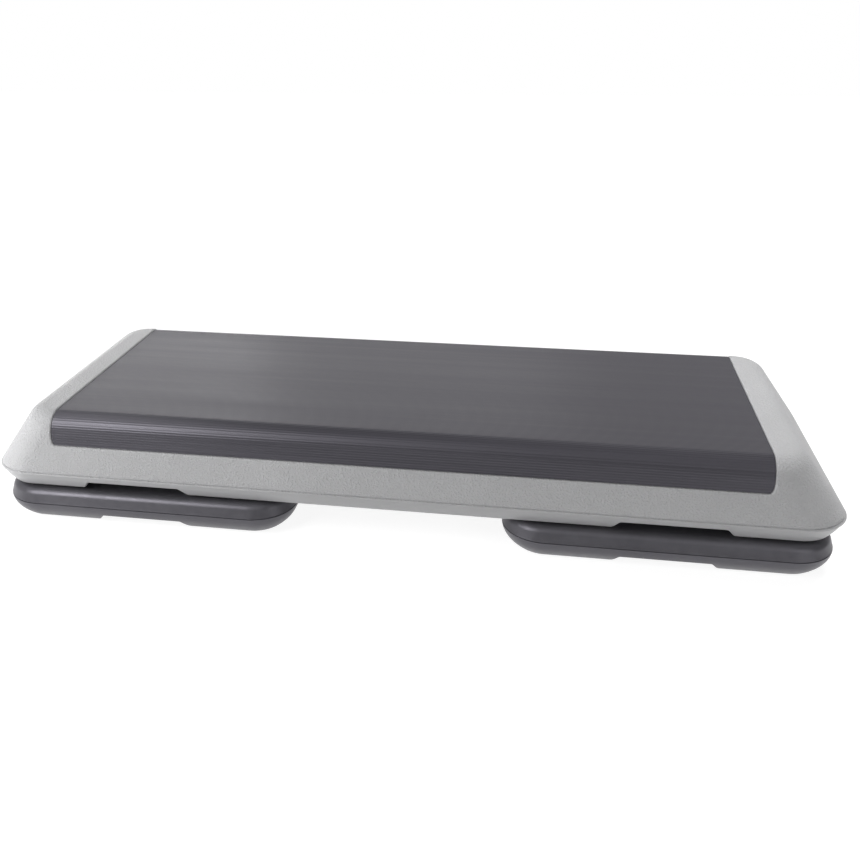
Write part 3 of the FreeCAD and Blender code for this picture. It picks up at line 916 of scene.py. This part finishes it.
# Mat rubber: fine streaks and broad bands run along the ribs
MAT_GREYS = ((0.022, 0.021, 0.026), (0.033, 0.0315, 0.038))
MAT_ROUGHNESS = 0.5
STREAKS = (1.0, 3.0, (3.0, 260.0, 260.0))
STREAK_SPAN = (0.25, 0.75)
STREAK_ROUGHNESSES = (0.38, 0.46)
BANDS = (1.0, 2.0, (1.5, 50.0, 50.0))
BAND_TONES = (-0.3, 0.3)
BAND_ROUGHNESSES = (-0.035, 0.035)
MAT_GRAIN = (1800.0, 2.0)
MAT_RELIEF = (0.08, 0.35)


def mat_rubber():
    """Dark ribbed rubber, with faint streaks along the ribs."""
    surface = Surface("mat_rubber", MAT_GREYS[0], MAT_ROUGHNESS, SATIN_SPECULAR, VIOLET_SHEEN)
    streaks = surface.noise(*STREAKS)
    bands = surface.noise(*BANDS)
    streak_tone = surface.ranged(streaks, STREAK_SPAN)
    band_tone = surface.ranged(bands, NOISE_SPAN, BAND_TONES)
    surface.coloured(surface.sum(streak_tone, band_tone), MAT_GREYS)
    surface.bumped(surface.noise(*MAT_GRAIN), *MAT_RELIEF)
    streak_gloss = surface.ranged(streaks, STREAK_SPAN, STREAK_ROUGHNESSES)
    band_gloss = surface.ranged(bands, NOISE_SPAN, BAND_ROUGHNESSES)
    surface.set_input("Roughness", surface.sum(streak_gloss, band_gloss))
    return surface.material


# Riser plastic
RISER_GREYS = ((0.053, 0.052, 0.058), (0.068, 0.067, 0.074))
RISER_ROUGHNESS = 0.42
RISER_CLOUD = (14.0, 4.0)
MOTTLE = (120.0, 3.0)
MOTTLE_TONES = (-0.3, 0.3)
MOTTLE_ROUGHNESSES = (0.36, 0.44)
RISER_GRAIN = (260.0, 3.0)
RISER_RELIEF = (0.25, 0.16)


def riser_plastic():
    """Charcoal plastic with a satin, faintly mottled skin."""
    surface = Surface("riser_plastic", RISER_GREYS[0], RISER_ROUGHNESS, SATIN_SPECULAR, VIOLET_SHEEN)
    cloud = surface.noise(*RISER_CLOUD)
    mottle = surface.noise(*MOTTLE)
    cloud_tone = surface.ranged(cloud, NOISE_SPAN)
    mottle_tone = surface.ranged(mottle, NOISE_SPAN, MOTTLE_TONES)
    surface.coloured(surface.sum(cloud_tone, mottle_tone), RISER_GREYS)
    surface.bumped(surface.noise(*RISER_GRAIN), *RISER_RELIEF)
    surface.set_input("Roughness", surface.ranged(mottle, NOISE_SPAN, MOTTLE_ROUGHNESSES))
    return surface.material


# Foot rubber
FOOT_GREYS = ((0.02, 0.02, 0.021), (0.036, 0.036, 0.037))
FOOT_ROUGHNESS = 0.7
FOOT_GRAIN = (900.0, 3.0)
FOOT_ROUGHNESSES = (0.62, 0.78)
FOOT_RELIEF = (0.1, 0.3)


def foot_rubber():
    """Dull black rubber."""
    surface = Surface("foot_rubber", FOOT_GREYS[0], FOOT_ROUGHNESS)
    grain = surface.noise(*FOOT_GRAIN)
    surface.coloured(surface.ranged(grain, NOISE_SPAN), FOOT_GREYS)
    surface.bumped(grain, *FOOT_RELIEF)
    surface.set_input("Roughness", surface.ranged(grain, NOISE_SPAN, FOOT_ROUGHNESSES))
    return surface.material


# Studio, in metres and watts

# The surround: its light on the object, and what reflections find behind and high in front
SKY_LIGHT = 0.05
BACKDROP_GLOW = (0.05, 0.74)
CANOPY_GLOW = (0.0, 0.75)
CANOPY_AIM = (0.0, -0.6, 0.8)
CANOPY_EDGE = (0.7, 0.95)

# The floor: the paint that lights the object, and the paint and the glow that are seen. The glow
# rises between two distances from the middle.
FLOOR_HALF = 6.0
FLOOR_WHITE = 0.86
FLOOR_SHADE = 0.25
FLOOR_GLOW = (0.9, 1.0)
FLOOR_GLOW_REACH = (0.8, 1.6)

# A far lamp, by the direction that it stands in
FAR_LAMP_DIRECTION = (-0.5, -0.55, 0.67)
FAR_LAMP_SPREAD = math.radians(20.0)
FAR_LAMP_STRENGTH = 0.35

# Softboxes: place, target, width and height, power, and whether reflections show them
LEFT_END = (-0.5, 0, 0.1)
RIGHT_END = (0.5, 0, 0.1)
SOFTBOXES = {
    "key": ((-1.0, -1.0, 0.85), (-0.45, -0.1, 0.12), (0.6, 0.7), 11.0, True),
    "upper_left": ((-0.95, 0.0, 1.2), (-0.45, -0.15, 0.14), (0.5, 0.5), 2.3, True),
    "left_side": ((-1.6, -0.3, 0.25), LEFT_END, (0.9, 0.45), 14.2, False),
    "right_high": ((0.68, 0.2, 1.1), RIGHT_END, (0.6, 0.6), 11.8, False),
    "right_fill": ((1.15, -0.9, 0.5), RIGHT_END, (0.6, 0.6), 2.4, True),
    "back_left": ((-1.4, 2.05, 0.43), (-0.4, 0, 0.15), (1.1, 0.7), 8.2, True),
    "back_middle": ((-0.4, 2.1, 0.6), (-0.1, 0, 0.15), (1.3, 1.1), 3.2, True),
}


def seen_directly(tree):
    """Whether a ray comes from the camera, a reflection or a clear body, as a share."""
    path = add_node(tree, "ShaderNodeLightPath")
    share = path.outputs["Is Camera Ray"]
    for kind in ("Is Glossy Ray", "Is Transmission Ray"):
        share = combined(tree, "MAXIMUM", share, path.outputs[kind])
    return share


def show(tree, output, lighting, seen):
    """Send one shader to the output where it lights the object, and another where it is seen."""
    inputs = {0: seen_directly(tree), 1: lighting.outputs[0], 2: seen.outputs[0]}
    mix = add_node(tree, "ShaderNodeMixShader", inputs)
    feed(tree, tree.nodes[output].inputs["Surface"], mix.outputs[0])


def studio_world():
    """A white surround, which reflections find pale behind and high in front, and dim elsewhere."""
    world = bpy.data.worlds.new("studio")
    world.use_nodes = True
    tree = world.node_tree
    light = tree.nodes["Background"]
    feed(tree, light.inputs["Color"], WHITE)
    feed(tree, light.inputs["Strength"], SKY_LIGHT)
    direction = add_node(tree, "ShaderNodeTexCoord").outputs["Generated"]
    split = add_node(tree, "ShaderNodeSeparateXYZ", {"Vector": direction})
    backdrop = ranged(tree, split.outputs["Y"], WHOLE, BACKDROP_GLOW)
    aim = {0: direction, 1: CANOPY_AIM}
    towards = add_node(tree, "ShaderNodeVectorMath", aim, operation="DOT_PRODUCT")
    canopy = ranged(tree, towards.outputs["Value"], CANOPY_EDGE, CANOPY_GLOW)
    shown = add_node(tree, "ShaderNodeLightPath").outputs["Is Camera Ray"]
    for glow in (backdrop, canopy):
        shown = combined(tree, "MAXIMUM", shown, glow)
    white = add_node(tree, "ShaderNodeBackground", {"Color": WHITE, "Strength": shown})
    show(tree, "World Output", light, white)
    bpy.context.scene.world = world


def floor_paint():
    """White paint that shows white where it is lit and far off, and keeps a soft shadow."""
    material = bpy.data.materials.new("floor_paint")
    material.use_nodes = True
    tree = material.node_tree
    tree.nodes.remove(tree.nodes["Principled BSDF"])
    white = (FLOOR_WHITE, FLOOR_WHITE, FLOOR_WHITE, 1)
    shade = (FLOOR_SHADE, FLOOR_SHADE, FLOOR_SHADE, 1)
    plain = add_node(tree, "ShaderNodeBsdfDiffuse", {"Color": white})
    shaded = add_node(tree, "ShaderNodeBsdfDiffuse", {"Color": shade})
    places = add_node(tree, "ShaderNodeTexCoord").outputs["Object"]
    distance = add_node(tree, "ShaderNodeVectorMath", {0: places}, operation="LENGTH")
    rise = ranged(tree, distance.outputs["Value"], FLOOR_GLOW_REACH, FLOOR_GLOW)
    glow = add_node(tree, "ShaderNodeEmission", {"Strength": rise})
    both = add_node(tree, "ShaderNodeAddShader", {0: shaded.outputs[0], 1: glow.outputs[0]})
    show(tree, "Material Output", plain, both)
    return material


def studio_floor():
    """A plain white floor at the object's lowest point."""
    mesh = bpy.data.meshes.new("floor")
    corners = [(-1, -1), (1, -1), (1, 1), (-1, 1)]
    mesh.from_pydata([(x * FLOOR_HALF, y * FLOOR_HALF, 0) for x, y in corners], [], [(0, 1, 2, 3)])
    mesh.materials.append(floor_paint())
    floor = bpy.data.objects.new("floor", mesh)
    bpy.context.scene.collection.objects.link(floor)


def hang(lamp, position, facing):
    """Put a lamp into the scene at a position, facing a direction."""
    holder = bpy.data.objects.new(lamp.name, lamp)
    holder.location = position
    holder.rotation_euler = facing.to_track_quat("-Z", "Y").to_euler()
    bpy.context.scene.collection.objects.link(holder)
    return holder


def far_lamp(name, direction, spread, strength):
    """A lamp far off in a direction, as wide as an angle. Watts on a square metre."""
    lamp = bpy.data.lights.new(name, "SUN")
    lamp.angle = spread
    lamp.energy = strength
    hang(lamp, (0, 0, 0), -Vector(direction))


def softbox(name, position, target, size, power, glare):
    """A rectangular lamp that faces a target, and may leave no glare."""
    lamp = bpy.data.lights.new(name, "AREA")
    lamp.shape = "RECTANGLE"
    lamp.size, lamp.size_y = size
    lamp.energy = power
    holder = hang(lamp, position, Vector(target) - Vector(position))
    holder.visible_glossy = glare


def studio_lamps():
    """A far lamp in front on the left, and softboxes in front, at the sides and behind."""
    far_lamp("front_left", FAR_LAMP_DIRECTION, FAR_LAMP_SPREAD, FAR_LAMP_STRENGTH)
    for name, settings in SOFTBOXES.items():
        softbox(name, *settings)


# Camera, in metres, radians and pixels of the photograph's square frame; its sensor is in millimetres

FRAME_PIXELS = 860
SENSOR_WIDTH = 36.0
FOCAL_PIXELS = 984.43
CENTRE_PIXEL = (388.0, 311.7)
CAMERA_PLACE = (0.1828, -1.2785, 0.6639)
CAMERA_YAW, CAMERA_PITCH, CAMERA_ROLL = -0.169, 0.307, -0.009


def studio_camera():
    """A camera at the photograph's viewpoint, shifted to its framing."""
    data = bpy.data.cameras.new("camera")
    data.sensor_width = SENSOR_WIDTH
    data.lens = SENSOR_WIDTH * FOCAL_PIXELS / FRAME_PIXELS
    data.shift_x = (FRAME_PIXELS / 2 - CENTRE_PIXEL[0]) / FRAME_PIXELS
    data.shift_y = (CENTRE_PIXEL[1] - FRAME_PIXELS / 2) / FRAME_PIXELS
    level = math.cos(CAMERA_PITCH)
    forward = Vector((
        math.sin(CAMERA_YAW) * level,
        math.cos(CAMERA_YAW) * level,
        -math.sin(CAMERA_PITCH),
    ))
    right = Vector((math.cos(CAMERA_YAW), -math.sin(CAMERA_YAW), 0))
    up = right.cross(forward)
    rolled_right = right * math.cos(CAMERA_ROLL) + up * math.sin(CAMERA_ROLL)
    rolled_up = up * math.cos(CAMERA_ROLL) - right * math.sin(CAMERA_ROLL)
    turn = Matrix((rolled_right, rolled_up, -forward)).transposed()
    camera = bpy.data.objects.new("camera", data)
    camera.matrix_world = Matrix.Translation(CAMERA_PLACE) @ turn.to_4x4()
    bpy.context.scene.collection.objects.link(camera)
    bpy.context.scene.camera = camera


# Scene


def dress(piece, node, body, material):
    """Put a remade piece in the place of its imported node."""
    piece.data.materials.clear()
    piece.data.materials.append(material)
    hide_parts(node)
    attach(piece, body)


def dress_feet():
    """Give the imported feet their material."""
    rubber = foot_rubber()
    for name, node in frame["nodes"].items():
        if "foot" in name:
            node.data.materials.clear()
            node.data.materials.append(rubber)


def main():
    """Dress the part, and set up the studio."""
    dress(deck_moulding(), "deck_shell", "platform", deck_plastic())
    dress(ribbed_mat(), "tread_mat", "platform", mat_rubber())
    charcoal = riser_plastic()
    for riser in RISERS:
        dress(riser_moulding(riser), riser, riser, charcoal)
    dress_feet()
    studio_world()
    studio_floor()
    studio_lamps()
    studio_camera()
    bpy.context.scene.view_settings.view_transform = "Standard"


main()
